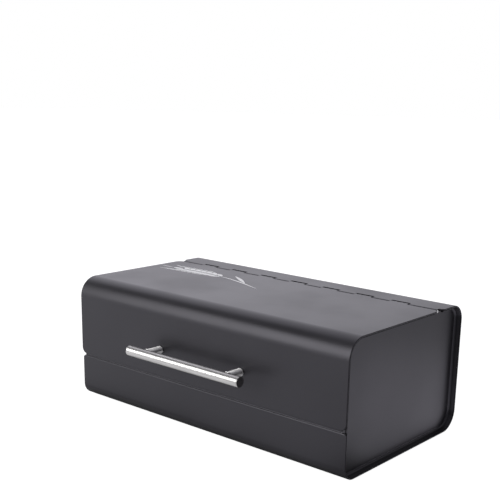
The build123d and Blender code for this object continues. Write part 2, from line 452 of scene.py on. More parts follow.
class SheetRun:
    """The outer face of a bent sheet: a profile drawn across the box and pulled out along X.

    The profile is drawn as a bender works, in straight runs and bends, each from the end of the one before.
    """

    def __init__(self, start: Vector, heading: Vector) -> None:
        """Start a profile.

        Args:
            start: where it starts.
            heading: direction of its first run.
        """
        self.mesh = bmesh.new()
        self.tip = bmesh.ops.create_vert(self.mesh, co=start)["vert"][0]
        self.heading = heading.copy()

    def run_to(self, axis: Vector, place: float) -> None:
        """Draw a straight run.

        Args:
            axis: the axis that the heading lies on.
            place: where along that axis the run ends.
        """
        length = (place - self.tip.co.dot(axis)) * self.heading.dot(axis)
        ahead = bmesh.ops.extrude_vert_indiv(self.mesh, verts=[self.tip])["verts"]
        bmesh.ops.translate(self.mesh, verts=ahead, vec=self.heading * length)
        self.tip = ahead[0]

    def bend(self, radius: float, turn: float = -QUARTER, steps: int = 14) -> None:
        """Draw a bend.

        Args:
            radius: radius of the bend.
            turn: angle that the heading turns by, about X.
            steps: number of straight pieces that stand for the arc.
        """
        centre = self.tip.co + ALONG.cross(self.heading) * math.copysign(radius, turn)
        bent = bmesh.ops.spin(self.mesh, geom=[self.tip], cent=centre, axis=ALONG, angle=turn, steps=steps)
        self.tip = bent["geom_last"][0]
        self.heading = Matrix.Rotation(turn, 3, "X") @ self.heading

    def extrude(self, edges: Sequence[Edge]) -> tuple[list[Edge], list[Vert]]:
        """Extrude free edges where they are.

        Args:
            edges: the free edges.

        Returns:
            The new edges and the new vertices, which still lie on the old ones.
        """
        made = bmesh.ops.extrude_edge_only(self.mesh, edges=edges)["geom"]
        fresh = [part for part in made if isinstance(part, Edge)]
        return fresh, [part for part in made if isinstance(part, Vert)]

    def pull(self, stops: Sequence[float]) -> None:
        """Pull the profile out along X.

        Args:
            stops: where along X the sheet has an edge loop, from one side to the other.
        """
        edges = list(self.mesh.edges)
        for here, there in pairwise(stops):
            edges, verts = self.extrude(edges)
            bmesh.ops.translate(self.mesh, verts=verts, vec=ALONG * (there - here))
        self.mesh.normal_update()

    def free_edges(self, wanted: Callable[[Vector, Vector], bool]) -> list[Edge]:
        """Return the free edges whose two ends pass a test."""
        free = [edge for edge in self.mesh.edges if edge.is_boundary]
        return [edge for edge in free if wanted(edge.verts[0].co, edge.verts[1].co)]

    def round_corners(self, wanted: Callable[[Vector], bool], radius: float, steps: int = 7) -> None:
        """Round free corners of the sheet.

        Args:
            wanted: the test that a corner's place has to pass.
            radius: radius of the corners.
            steps: number of straight pieces that stand for each arc.
        """
        corners = [vert for vert in self.mesh.verts if len(vert.link_faces) == 1 and wanted(vert.co)]
        bmesh.ops.bevel(
            self.mesh,
            geom=corners,
            offset=radius,
            offset_type="OFFSET",
            segments=steps,
            profile=0.5,
            affect="VERTICES",
            material=-1,
        )
        self.mesh.normal_update()

    @staticmethod
    def sweep_roots(edges: Sequence[Edge]) -> dict[Vert, SweepRoot]:
        """Find the directions that free edges of a sheet are swept in.

        Args:
            edges: the free edges.

        Returns:
            The root of the sweep at each vertex of the edges.
        """
        outwards: dict[Vert, Vector] = {}
        normals: dict[Vert, Vector] = {}
        for edge in edges:
            face = edge.link_faces[0]
            first, second = edge.verts
            out = (second.co - first.co).normalized().cross(face.normal)
            if out.dot((first.co + second.co) / 2 - face.calc_center_median()) < 0:
                out.negate()
            for vert in edge.verts:
                outwards[vert] = outwards.get(vert, Vector()) + out
                normals[vert] = normals.get(vert, Vector()) + face.normal
        return {
            vert: SweepRoot(vert.co.copy(), outwards[vert].normalized(), normals[vert].normalized())
            for vert in outwards
        }

    def sweep(self, edges: Sequence[Edge], path: Iterable[Pair]) -> list[Edge]:
        """Sweep free edges of the sheet along a path.

        Args:
            edges: the free edges.
            path: for each step, how far it lies outwards in the sheet and how far along the sheet's normal,
                both from where the edges start.

        Returns:
            The edges at the end of the path.
        """
        roots = self.sweep_roots(edges)
        for reach, rise in path:
            edges, verts = self.extrude(edges)
            fresh = {}
            for vert in verts:
                others = [edge.other_vert(vert) for edge in vert.link_edges]
                root = next(roots[other] for other in others if other in roots)
                fresh[vert] = root
                vert.co = root.place + root.outwards * reach + root.normal * rise
            roots = fresh
        self.mesh.normal_update()
        return edges

    def curl(self, edges: Sequence[Edge], reach: Vector, centre: Vector, turn: float, steps: int) -> None:
        """Push tabs out of free edges and curl them into eyes.

        Args:
            edges: the free edges that the tabs grow from.
            reach: how far the flat part of a tab goes.
            centre: a point on the axis of the eyes.
            turn: angle that the tabs are curled through, about X.
            steps: number of straight pieces that stand for the curl.
        """
        ends, verts = self.extrude(edges)
        bmesh.ops.translate(self.mesh, verts=verts, vec=reach)
        bmesh.ops.spin(self.mesh, geom=verts + ends, cent=centre, axis=ALONG, angle=turn, steps=steps)
        self.mesh.normal_update()

    def cut_box(self, low: Vector, high: Vector) -> None:
        """Cut away what lies in a box.

        Args:
            low: the lower corner of the box.
            high: its upper corner.
        """
        for corner in (low, high):
            for direction in (BACK, UP):
                whole = self.mesh.verts[:] + self.mesh.edges[:] + self.mesh.faces[:]
                bmesh.ops.bisect_plane(self.mesh, geom=whole, dist=TOUCH, plane_co=corner, plane_no=direction)
        inside = [
            face
            for face in self.mesh.faces
            if all(least < at < most for least, at, most in zip(low, face.calc_center_median(), high))
        ]
        bmesh.ops.delete(self.mesh, geom=inside, context="FACES")

    def thicken(self, sheet: float) -> Mesh:
        """Give the sheet its thickness behind its outer face.

        Args:
            sheet: thickness of the steel.

        Returns:
            The closed mesh.
        """
        bmesh.ops.remove_doubles(self.mesh, verts=self.mesh.verts, dist=TOUCH)
        outer = max(self.mesh.faces, key=lambda face: face.calc_area())
        was = outer.normal.copy()
        bmesh.ops.recalc_face_normals(self.mesh, faces=self.mesh.faces)
        if outer.normal.dot(was) < 0:
            bmesh.ops.reverse_faces(self.mesh, faces=self.mesh.faces)
        bmesh.ops.solidify(self.mesh, geom=self.mesh.faces[:], thickness=sheet)
        self.mesh.normal_update()
        return self.mesh


def arc_path(radius: float, turn: float, steps: int, side: int = -1) -> Path:
    """Return the path of an edge swept round an arc, behind its sheet or with side 1 before it."""
    angles = [turn * step / steps for step in range(1, steps + 1)]
    return [(radius * math.sin(angle), side * radius * (1 - math.cos(angle))) for angle in angles]


def half_roll(radius: float, fold: float, steps: int = 8) -> Path:
    """Return the path of an edge that is rolled inwards through half a turn and folded flat."""
    return [*arc_path(radius, math.pi, steps), (-fold, -2 * radius)]


def turned(profile: Path, axis: Vector, centre: Vector, closed: bool = False, steps: int = 56) -> Mesh:
    """Turn a round piece.

    Args:
        profile: pairs of a station along the axis and a radius.
        axis: direction of the axis.
        centre: the point of the axis that stations count from.
        closed: whether the profile closes on itself, as a tube's does.
        steps: number of faces around.

    Returns:
        The turned mesh.
    """
    mesh = bmesh.new()
    side = axis.orthogonal().normalized()
    spots = [centre + axis * station + side * radius for station, radius in profile]
    verts = [bmesh.ops.create_vert(mesh, co=spot)["vert"][0] for spot in spots]
    for first, second in pairwise(verts + verts[:1] if closed else verts):
        mesh.edges.new((first, second))
    whole = mesh.verts[:] + mesh.edges[:]
    bmesh.ops.spin(
        mesh, geom=whole, cent=centre, axis=axis, angle=2 * math.pi, steps=steps, use_merge=True
    )
    bmesh.ops.remove_doubles(mesh, verts=mesh.verts, dist=TOUCH)
    bmesh.ops.recalc_face_normals(mesh, faces=mesh.faces)
    return mesh


def soften(mesh: Mesh, radius: float, steps: int = 3, least: float = 0.7) -> None:
    """Round the hard edges of a mesh.

    Args:
        mesh: the mesh.
        radius: radius of the rounding.
        steps: number of faces across it.
        least: angle that the faces at a hard edge turn by, or more.
    """
    hard = [edge for edge in mesh.edges if len(edge.link_faces) == 2 and edge.calc_face_angle() > least]
    bmesh.ops.bevel(
        mesh,
        geom=hard,
        offset=radius,
        offset_type="OFFSET",
        segments=steps,
        profile=0.5,
        affect="EDGES",
        clamp_overlap=True,
        material=-1,
    )


def new_object(name: str, data: bpy.types.ID) -> bpy.types.Object:
    """Make an object and link it into the scene.

    Args:
        name: its name.
        data: its mesh, lamp or camera.

    Returns:
        The new object.
    """
    made = bpy.data.objects.new(name, data)
    bpy.context.scene.collection.objects.link(made)
    return made


def new_mesh(name: str, mesh: Mesh) -> bpy.types.Mesh:
    """Make mesh data out of a drawn mesh.

    Args:
        name: name of the data.
        mesh: the drawn mesh, which is used up.

    Returns:
        The new data.
    """
    data = bpy.data.meshes.new(name)
    mesh.to_mesh(data)
    mesh.free()
    return data


def add_piece(
    mesh: Mesh, name: str, body: Body, finish: Finish, nodes: Sequence[str] = ()
) -> None:
    """Make a finished mesh a piece of the object.

    Args:
        mesh: the mesh, which is used up.
        name: name of the piece.
        body: the body that it rides on.
        finish: the finish that it wears.
        nodes: the CAD nodes that it stands for.
    """
    data = new_mesh(name, mesh)
    data.shade_smooth()
    data.set_sharp_from_angle(angle=SHARP_TURN)
    data.materials.append(finish.material())
    piece = new_object(name, data)
    weighted = piece.modifiers.new("even_shading", "WEIGHTED_NORMAL")
    weighted.keep_sharp = True
    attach(piece, body.value)
    if nodes:
        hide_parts(*nodes)
    log.info("%s: %d faces, rides on %s", name, len(data.polygons), body.value)


def dress_node(node: str, finish: Finish) -> None:
    """Give a CAD node that keeps its own shape a finish.

    Args:
        node: name of the node.
        finish: the finish that it wears.
    """
    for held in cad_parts[node].material_slots:
        held.material = finish.material()
    log.info("%s: CAD shape in %s", node, finish.name)


@dataclass(frozen=True)
class BoxPlan:
    """Places that several sub-assemblies share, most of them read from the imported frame."""

    end_x: float
    top_z: float
    floor_z: float
    back_y: float
    lid_front_y: float
    lid_low_z: float
    strip_front_y: float
    hinge: Vector
    pin_radius: float
    sheet: float = 0.0008
    lid_gap: float = 0.0029
    front_bottom_bend: float = 0.016
    rear_bottom_bend: float = 0.024
    rear_top_bend: float = 0.020
    lid_bend: float = 0.024
    pin_clearance: float = 0.00005
    rear_slot: float = 0.0024
    front_slit: float = 0.0022
    end_notch: float = 0.006
    end_tab_width: float = 0.0377
    lid_tab_width: float = 0.025
    lid_tab_count: int = 7
    tab_gap: float = 0.0005
    print_room: float = 0.00006

    @classmethod
    def from_frame(cls) -> "BoxPlan":
        """Read the places from the frame.

        Returns:
            The plan.
        """
        lid_low, lid_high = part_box("lid")
        wrap_low, wrap_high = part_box("body_wrap")
        pin_low, pin_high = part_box("hinge_pin")
        return cls(
            end_x=lid_high.x,
            top_z=lid_high.z,
            floor_z=wrap_low.z,
            back_y=wrap_high.y,
            lid_front_y=lid_low.y,
            lid_low_z=lid_low.z,
            strip_front_y=wrap_low.y,
            hinge=Vector((0.0, (pin_low.y + pin_high.y) / 2, (pin_low.z + pin_high.z) / 2)),
            pin_radius=(pin_high.z - pin_low.z) / 2,
        )

    @property
    def strip_top_z(self) -> float:
        """Return the height of the front strip's rolled edge."""
        return self.lid_low_z - self.lid_gap

    @property
    def eye_radius(self) -> float:
        """Return the outer radius of the hinge eyes."""
        return self.pin_radius + self.pin_clearance + self.sheet

    @property
    def rear_strip_edge_y(self) -> float:
        """Return where the rear strip ends, behind the hinge."""
        return self.hinge.y + self.eye_radius + self.rear_slot

    @property
    def lid_rear_edge_y(self) -> float:
        """Return where the lid ends, in front of the hinge."""
        return self.hinge.y - self.eye_radius - self.front_slit

    @property
    def skin_top_z(self) -> float:
        """Return the height of the painted top, which leaves room for the print on it."""
        return self.top_z - self.print_room

    def lid_tabs(self) -> Path:
        """Place the lid's hinge tabs.

        Returns:
            The two ends along X of each tab.
        """
        outer = self.end_x - self.end_notch - self.end_tab_width - self.tab_gap
        pitch = (2 * outer - self.lid_tab_width) / (self.lid_tab_count - 1)
        starts = [-outer + pitch * index for index in range(self.lid_tab_count)]
        return [(start, start + self.lid_tab_width) for start in starts]

    def body_tabs(self) -> Path:
        """Place the body's hinge tabs between the lid's.

        Returns:
            The two ends along X of each tab.
        """
        outer = self.end_x - self.end_notch
        tabs = self.lid_tabs()
        lefts = [-outer, *(tab[1] + self.tab_gap for tab in tabs)]
        rights = [*(tab[0] - self.tab_gap for tab in tabs), outer]
        return list(zip(lefts, rights))

    def draw_shell(self, sheet: SheetRun, inset: float = 0.0) -> None:
        """Draw the body's profile from the rear strip to the bend below the front strip.

        Args:
            sheet: the sheet that is drawn, which starts in the rear strip and heads to the back.
            inset: how far inside the body's outer face it runs.
        """
        sheet.run_to(BACK, self.back_y - self.rear_top_bend)
        sheet.bend(self.rear_top_bend - inset)
        sheet.run_to(UP, self.floor_z + self.rear_bottom_bend)
        sheet.bend(self.rear_bottom_bend - inset)
        sheet.run_to(BACK, self.strip_front_y + self.front_bottom_bend)
        sheet.bend(self.front_bottom_bend - inset)


def on_tabs(tabs: Path, first: Vector, second: Vector) -> bool:
    """Tell whether an edge between two points lies on one of the tabs."""
    middle = (first.x + second.x) / 2
    return any(start < middle < end for start, end in tabs)


@dataclass
class BodyWrap:
    """The body's one bent sheet: rear strip with hinge eyes, back, floor and front strip, hemmed."""

    plan: BoxPlan
    hem_radius: float = 0.00082
    hem_fold: float = 0.0004
    strip_corner: float = 0.002
    rear_corner: float = 0.005
    edge_radius: float = 0.0016
    edge_fold: float = 0.0004
    lip_turn: float = math.radians(56.0)
    lip_bend: float = 0.0010
    lip_height: float = 0.005
    lip_steps: int = 6
    curl_turn: float = math.radians(305.0)
    curl_steps: int = 20

    @property
    def side_x(self) -> float:
        """Return where the sheet ends along X before its ends are rolled."""
        return self.plan.end_x - self.hem_radius

    @property
    def flat_top_z(self) -> float:
        """Return the height that the flat of the front strip ends at."""
        return self.plan.strip_top_z - self.edge_radius

    def build(self) -> None:
        """Build the wrap and dress it."""
        plan = self.plan
        edge_y = plan.rear_strip_edge_y
        skin_z = plan.skin_top_z - TOUCH
        sheet = SheetRun(Vector((-self.side_x, edge_y, plan.skin_top_z)), BACK)
        plan.draw_shell(sheet)
        sheet.run_to(UP, self.flat_top_z)
        tabs = plan.body_tabs()
        sheet.pull([-self.side_x, *(end for tab in tabs for end in tab), self.side_x])
        strip_y = plan.strip_front_y + TOUCH
        strip_z = self.flat_top_z - TOUCH
        sheet.round_corners(lambda spot: spot.z > strip_z and spot.y < strip_y, self.strip_corner)
        sheet.round_corners(lambda spot: spot.z > skin_z and spot.y < edge_y + TOUCH, self.rear_corner)
        self.hem_ends(sheet)
        self.step_strip(sheet)
        rear = sheet.free_edges(
            lambda a, b: abs(a.y - edge_y) + abs(b.y - edge_y) < TOUCH
            and min(a.z, b.z) > skin_z
            and on_tabs(tabs, a, b)
        )
        sheet.curl(rear, BACK * (plan.hinge.y - edge_y), plan.hinge, self.curl_turn, self.curl_steps)
        mesh = sheet.thicken(plan.sheet)
        add_piece(mesh, "painted_wrap", Body.BOX, PAINT, ["body_wrap"])

    def on_rim(self, first: Vector, second: Vector) -> bool:
        """Tell whether an edge between two points belongs to an end of the wrap, its round corners included.

        Args:
            first: one end of the edge.
            second: its other end.

        Returns:
            Whether it does.
        """
        inner, outer = sorted((abs(first.x), abs(second.x)))
        side = self.side_x - self.strip_corner + TOUCH
        on_side = outer > side and inner > side - 2 * TOUCH
        on_rear_corner = (
            inner > self.side_x - self.rear_corner - TOUCH
            and min(first.z, second.z) > self.plan.skin_top_z - TOUCH
            and max(first.y, second.y) > self.plan.rear_strip_edge_y + TOUCH
        )
        return (on_side or on_rear_corner) and abs(first.x - second.x) < self.strip_corner

    def hem_ends(self, sheet: SheetRun) -> None:
        """Roll the two ends of the wrap inwards into hems, round its free corners too."""
        sheet.sweep(sheet.free_edges(self.on_rim), half_roll(self.hem_radius, self.hem_fold))

    def step_strip(self, sheet: SheetRun) -> None:
        """Step the front strip's upper edge back into a lip behind the lid, and roll its two ends.

        Args:
            sheet: the wrap's sheet.
        """
        front_y = self.plan.strip_front_y
        top_z = self.flat_top_z
        lip_x = self.plan.end_x - self.plan.end_notch + TOUCH
        top = sheet.free_edges(
            lambda a, b: abs(a.z - top_z) + abs(b.z - top_z) < TOUCH
            and abs(a.y - front_y) + abs(b.y - front_y) < TOUCH
        )
        inner = [edge for edge in top if max(abs(vert.co.x) for vert in edge.verts) < lip_x]
        outer = [edge for edge in top if edge not in inner]
        sheet.sweep(outer, half_roll(self.edge_radius, self.edge_fold))
        sheet.sweep(inner, self.joggle())

    def joggle(self) -> Path:
        """Lean the strip's edge back over one bend and let it rise again after another.

        Returns:
            The path of the edge.
        """
        over = arc_path(self.edge_radius / math.sin(self.lip_turn), self.lip_turn, self.lip_steps)
        reach, rise = over[-1]
        for step in reversed(range(self.lip_steps)):
            turn = self.lip_turn * step / self.lip_steps
            along = self.lip_bend * (math.sin(self.lip_turn) - math.sin(turn))
            back = self.lip_bend * (math.cos(turn) - math.cos(self.lip_turn))
            over.append((reach + along, rise - back))
        reach, rise = over[-1]
        return [*over, (reach + self.lip_height, rise)]


@dataclass
class Lid:
    """The lid's one bent sheet: top with hinge eyes and front, rolled along its sides and its lower edge."""

    plan: BoxPlan
    rim_radius: float = 0.00082
    rim_fold: float = 0.003
    front_corner: float = 0.008
    rear_corner: float = 0.009
    bend_steps: int = 18
    curl_turn: float = math.radians(-305.0)
    curl_steps: int = 20

    def build(self) -> None:
        """Build the lid and dress it."""
        plan = self.plan
        side_x = plan.end_x - self.rim_radius
        low_z = plan.lid_low_z + self.rim_radius
        edge_y = plan.lid_rear_edge_y
        sheet = SheetRun(Vector((-side_x, plan.lid_front_y, low_z)), UP)
        sheet.run_to(UP, plan.skin_top_z - plan.lid_bend)
        sheet.bend(plan.lid_bend, steps=self.bend_steps)
        sheet.run_to(BACK, edge_y)
        tabs = plan.lid_tabs()
        sheet.pull([-side_x, *(end for tab in tabs for end in tab), side_x])
        sheet.round_corners(lambda spot: spot.z < low_z + TOUCH, self.front_corner - self.rim_radius)
        sheet.round_corners(lambda spot: spot.y > edge_y - TOUCH, self.rear_corner - self.rim_radius)
        rim = sheet.free_edges(lambda a, b: min(a.y, b.y) < edge_y - TOUCH)
        sheet.sweep(rim, half_roll(self.rim_radius, self.rim_fold))
        rear = sheet.free_edges(
            lambda a, b: min(a.y, b.y) > edge_y - TOUCH
            and min(a.z, b.z) > plan.skin_top_z - TOUCH
            and on_tabs(tabs, a, b)
        )
        sheet.curl(rear, BACK * (plan.hinge.y - edge_y), plan.hinge, self.curl_turn, self.curl_steps)
        add_piece(sheet.thicken(plan.sheet), "painted_lid", Body.LID, PAINT, ["lid"])


@dataclass
class WheatEar:
    """An ear of wheat in white ink on the lid's top: stalk, a blade, grains in pairs and their beards."""

    plan: BoxPlan
    root: Pair = (-0.010, 0.014)
    turn: float = math.radians(171.0)
    length: float = 0.158
    bow: float = -0.011
    stalk_width: float = 0.0024
    stalk_share: float = 0.58
    blade_size: Pair = (0.044, 0.0052)
    blade_share: float = 0.22
    blade_turn: float = math.radians(-19.0)
    grain_size: Pair = (0.0170, 0.0064)
    grain_pairs: int = 7
    grain_pitch: float = 0.0098
    grain_turn: float = math.radians(23.0)
    grain_room: float = 0.0016
    beard_size: Pair = (0.022, 0.0015)
    beard_turn: float = math.radians(15.0)
    ink: float = 0.00005
    lift: float = 0.000005
    outline_steps: int = 28

    def build(self) -> None:
        """Draw the ear and dress it."""
        mesh = bmesh.new()
        stalk = self.length * self.stalk_share
        self.leaf(mesh, (stalk, self.stalk_width), Vector(), 0.0)
        blade_root = Vector((self.length * self.blade_share, -self.grain_room, 0.0))
        self.leaf(mesh, self.blade_size, blade_root, self.blade_turn)
        ear_start = stalk - self.grain_pitch / 2
        for pair in range(self.grain_pairs):
            for side in (-1, 1):
                spot = Vector((ear_start + pair * self.grain_pitch, side * self.grain_room, 0.0))
                self.bearded_grain(mesh, spot, side)
        tip = Vector((ear_start + self.grain_pairs * self.grain_pitch, 0.0, 0.0))
        self.bearded_grain(mesh, tip, 0)
        self.lay(mesh)
        bmesh.ops.solidify(mesh, geom=mesh.faces[:], thickness=self.ink)
        mesh.normal_update()
        add_piece(mesh, "printed_wheat_ear", Body.LID, INK)

    def bearded_grain(self, mesh: Mesh, spot: Vector, side: int) -> None:
        """Draw one grain, with the beard beyond its tip.

        Args:
            mesh: the mesh that it is drawn in.
            spot: where it starts.
            side: the side that it leans to, nought for none.
        """
        self.leaf(mesh, self.grain_size, spot, side * self.grain_turn)
        lean = Matrix.Rotation(side * self.grain_turn, 3, "Z")
        end = spot + lean @ Vector((self.grain_size[0] + self.grain_room / 2, 0.0, 0.0))
        self.leaf(mesh, self.beard_size, end, side * self.beard_turn)

    def leaf(self, mesh: Mesh, size: Pair, root: Vector, turn: float) -> None:
        """Draw a flat form with two pointed ends.

        Args:
            mesh: the mesh that it is drawn in.
            size: its length and its greatest width.
            root: where it starts.
            turn: angle from the stalk that it leans by.
        """
        outline = bmesh.ops.create_circle(mesh, cap_ends=True, segments=self.outline_steps, radius=1.0)
        drawn = outline["verts"]
        for vert in drawn:
            vert.co.y *= math.sqrt(max(0.0, 1.0 - vert.co.x**2))
        bmesh.ops.translate(mesh, verts=drawn, vec=ALONG)
        bmesh.ops.scale(mesh, verts=drawn, vec=(size[0] / 2, size[1] / 2, 1.0))
        bmesh.ops.rotate(mesh, verts=drawn, cent=Vector(), matrix=Matrix.Rotation(turn, 3, "Z"))
        bmesh.ops.translate(mesh, verts=drawn, vec=root)

    def lay(self, mesh: Mesh) -> None:
        """Bow the drawing and lay it on the lid's top, every face up.

        Args:
            mesh: the drawing.
        """
        for vert in mesh.verts:
            vert.co.y += self.bow * math.sin(math.pi * vert.co.x / self.length)
        bmesh.ops.rotate(mesh, verts=mesh.verts, cent=Vector(), matrix=Matrix.Rotation(self.turn, 3, "Z"))
        spot = Vector((*self.root, self.plan.skin_top_z + self.lift + self.ink))
        bmesh.ops.translate(mesh, verts=mesh.verts, vec=spot)
        mesh.normal_update()
        bmesh.ops.reverse_faces(mesh, faces=[face for face in mesh.faces if face.normal.z < 0])


@dataclass
class EndPanels:
    """The two pressed pans that close the ends of the box."""

    plan: BoxPlan
    flange_inset: float = 0.0025
    recess: float = 0.0082
    lip_step: float = 0.0013
    lip_rise: float = 0.0006
    lip_reach: float = 0.0032
    press_bend: float = 0.003
    press_steps: int = 6
    hem_reach: float = 0.0034
    hem_lean: float = 0.0010
    hem_tuck: float = 0.0003
    clearance: float = 0.0005
    lid_rim_room: float = 0.005
    strip_lip_low: float = 0.0013
    strip_lip_high: float = 0.0055

    def build(self) -> None:
        """Build both panels and dress them."""
        for end in End:
            self.build_one(end)

    def build_one(self, end: End) -> None:
        """Build the panel of one end and dress it.

        Args:
            end: the end that it closes.
        """
        sheet = self.press_pan()
        self.cut_clearances(sheet)
        mesh = sheet.thicken(self.plan.sheet)
        if end is End.LEFT:
            bmesh.ops.scale(mesh, verts=mesh.verts, vec=(-1.0, 1.0, 1.0))
            bmesh.ops.reverse_faces(mesh, faces=mesh.faces)
        name = f"{end.word}_end_panel"
        add_piece(mesh, f"painted_{name}", Body.BOX, PAINT, [name])

    def press_pan(self) -> SheetRun:
        """Press the right end's pan: a flat plate with a rounded step up to its flange.

        Returns:
            The pan's outer face.
        """
        plan = self.plan
        inset = self.flange_inset + self.press_bend
        sheet = SheetRun(Vector((plan.end_x - self.recess, 0.0, plan.top_z - inset)), BACK)
        plan.draw_shell(sheet, inset)
        sheet.run_to(UP, plan.top_z - plan.lid_bend)
        sheet.bend(plan.lid_bend - inset)
        sheet.run_to(BACK, 0.0)
        bmesh.ops.remove_doubles(sheet.mesh, verts=sheet.mesh.verts, dist=TOUCH)
        plate = bmesh.ops.contextual_create(sheet.mesh, geom=sheet.mesh.edges[:])["faces"][0]
        sheet.mesh.normal_update()
        if plate.normal.x < 0:
            plate.normal_flip()
        bend = arc_path(self.press_bend, QUARTER, self.press_steps, side=1)
        under_lid = (self.press_bend, self.recess - self.lid_rim_room)
        edges = sheet.sweep(list(sheet.mesh.edges), [*bend, under_lid])
        held = [edge for edge in edges if not self.lies_under_lid(edge)]
        stepped = [edge for edge in edges if self.lies_under_lid(edge)]
        sheet.sweep(stepped, [(self.lip_rise, self.lip_step), (self.lip_reach, self.lip_step)])
        tucked = (self.hem_reach + self.hem_tuck, -self.hem_lean - self.hem_tuck)
        sheet.sweep(held, [(self.hem_reach, -self.hem_lean), tucked])
        return sheet

    def lies_under_lid(self, edge: Edge) -> bool:
        """Tell whether an edge of the flange lies under the lid and not in the wrap's hem."""
        middle = (edge.verts[0].co + edge.verts[1].co) / 2
        return middle.z > self.plan.strip_top_z and middle.y < self.plan.rear_strip_edge_y

    def cut_clearances(self, sheet: SheetRun) -> None:
        """Cut the pan clear of the hinge and of the front strip's rolled edge.

        Args:
            sheet: the pan's outer face.
        """
        plan = self.plan
        hinge_z = plan.hinge.z - plan.eye_radius - self.clearance
        sheet.cut_box(
            Vector((0.0, plan.lid_rear_edge_y - self.clearance, hinge_z)),
            Vector((plan.end_x, plan.rear_strip_edge_y + self.clearance, plan.top_z)),
        )
        strip_y = plan.strip_front_y + self.flange_inset + self.clearance
        strip_low_z = plan.strip_top_z - self.strip_lip_low - self.clearance
        strip_high_z = plan.strip_top_z + self.strip_lip_high + self.clearance
        sheet.cut_box(
            Vector((0.0, plan.strip_front_y, strip_low_z)), Vector((plan.end_x, strip_y, strip_high_z))
        )


@dataclass
class HingePin:
    """The long pin that the lid turns on."""

    plan: BoxPlan
    end_round: float = 0.0005
    end_steps: int = 4
    sides: int = 32

    def build(self) -> None:
        """Build the pin and dress it."""
        low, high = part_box("hinge_pin")
        radius = self.plan.pin_radius
        profile = [(low.x, 0.0), (low.x, radius), (high.x, radius), (high.x, 0.0)]
        mesh = turned(profile, ALONG, self.plan.hinge, steps=self.sides)
        soften(mesh, self.end_round, self.end_steps)
        add_piece(mesh, "steel_hinge_pin", Body.BOX, PIN_STEEL, ["hinge_pin"])


@dataclass
class Handle:
    """The round bar in front of the lid, its end caps and its two posts."""

    plan: BoxPlan
    wall: float = 0.0012
    edge_round: float = 0.0003
    cap_round: float = 0.0005
    cap_steps: int = 4
    post_edge: float = 0.0004
    post_end_share: float = 0.6
    weld_flare: float = 0.0009
    weld_height: float = 0.0016
    flare_share: float = 0.4

    def build(self) -> None:
        """Build the handle's pieces and dress them."""
        self.build_bar()
        for end in End:
            self.build_cap(end)
            self.build_post(end)

    def axis_point(self) -> Vector:
        """Return the point of the bar's axis in the middle of the box."""
        low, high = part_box("handle_bar")
        return Vector((0.0, (low.y + high.y) / 2, (low.z + high.z) / 2))

    def bar_radius(self) -> float:
        """Return the outer radius of the bar."""
        low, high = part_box("handle_bar")
        return (high.y - low.y) / 2

    def build_bar(self) -> None:
        """Build the tube."""
        low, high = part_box("handle_bar")
        radius = self.bar_radius()
        bore = radius - self.wall
        profile = [(low.x, bore), (low.x, radius), (high.x, radius), (high.x, bore)]
        mesh = turned(profile, ALONG, self.axis_point(), closed=True)
        soften(mesh, self.edge_round)
        add_piece(mesh, "steel_bar", Body.LID, HANDLE_STEEL, ["handle_bar"])

    def build_cap(self, end: End) -> None:
        """Build the cap of one end of the tube: a rounded disc on a plug.

        Args:
            end: the end that it closes.
        """
        name = f"{end.word}_handle_cap"
        low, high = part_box(name)
        outer = high.x if end is End.RIGHT else -low.x
        inner = low.x if end is End.RIGHT else -high.x
        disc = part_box("handle_bar")[1].x
        radius = self.bar_radius()
        plug = radius - self.wall - self.plan.pin_clearance
        profile = [(inner, 0.0), (inner, plug), (disc, plug), (disc, radius), (outer, radius), (outer, 0.0)]
        mesh = turned(profile, ALONG * end.value, self.axis_point())
        soften(mesh, self.cap_round, self.cap_steps)
        add_piece(mesh, f"steel_{name}", Body.LID, CAP_STEEL, [name])

    def build_post(self, end: End) -> None:
        """Build one post, with the weld's flare where it meets the tube.

        Args:
            end: the end of the bar that it stands at.
        """
        name = f"{end.word}_handle_post"
        low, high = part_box(name)
        radius = (high.x - low.x) / 2
        centre = Vector(((low.x + high.x) / 2, high.y, (low.z + high.z) / 2))
        hidden = high.y - self.axis_point().y - self.bar_radius() * self.post_end_share
        meet = high.y - self.axis_point().y - self.bar_radius()
        profile = [
            (0.0, 0.0),
            (0.0, radius - self.post_edge),
            (self.post_edge, radius),
            (meet - self.weld_height, radius),
            (meet, radius + self.weld_flare * self.flare_share),
            (meet + self.weld_height, radius + self.weld_flare),
            (hidden, radius),
            (hidden, 0.0),
        ]
        mesh = turned(profile, -BACK, centre)
        add_piece(mesh, f"steel_{name}", Body.LID, POST_STEEL, [name])


@dataclass
class Feet:
    """The four rubber feet under the floor."""

    rounding: float = 0.0006
    dish_share: float = 0.55
    dish_depth: float = 0.0006
    sides: int = 48
    names: Sequence[str] = ("front_left_foot", "front_right_foot", "rear_left_foot", "rear_right_foot")

    def build(self) -> None:
        """Build the feet and dress them."""
        for name in self.names:
            self.build_one(name)

    def build_one(self, name: str) -> None:
        """Build one foot: a low disc with a shallow dish in its sole.

        Args:
            name: the foot's CAD node.
        """
        low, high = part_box(name)
        radius = (high.x - low.x) / 2
        height = high.z - low.z
        dish = radius * self.dish_share
        centre = Vector(((low.x + high.x) / 2, (low.y + high.y) / 2, low.z))
        profile = [
            (self.dish_depth, 0.0),
            (self.dish_depth, dish - self.dish_depth),
            (0.0, dish),
            (0.0, radius),
            (height, radius),
            (height, 0.0),
        ]
        mesh = turned(profile, UP, centre, steps=self.sides)
        soften(mesh, self.rounding)
        add_piece(mesh, f"rubber_{name}", Body.BOX, RUBBER, [name])


@dataclass(frozen=True)
class PaintedLightPool:
    """A patch of painted light or painted shade on the floor, round or square, that glows more or less than
    the rest in reflections.
    """

    place: Triple
    inner: float
    outer: float
    glow: Triple
    shrink: Triple = EVEN
    square: bool = False


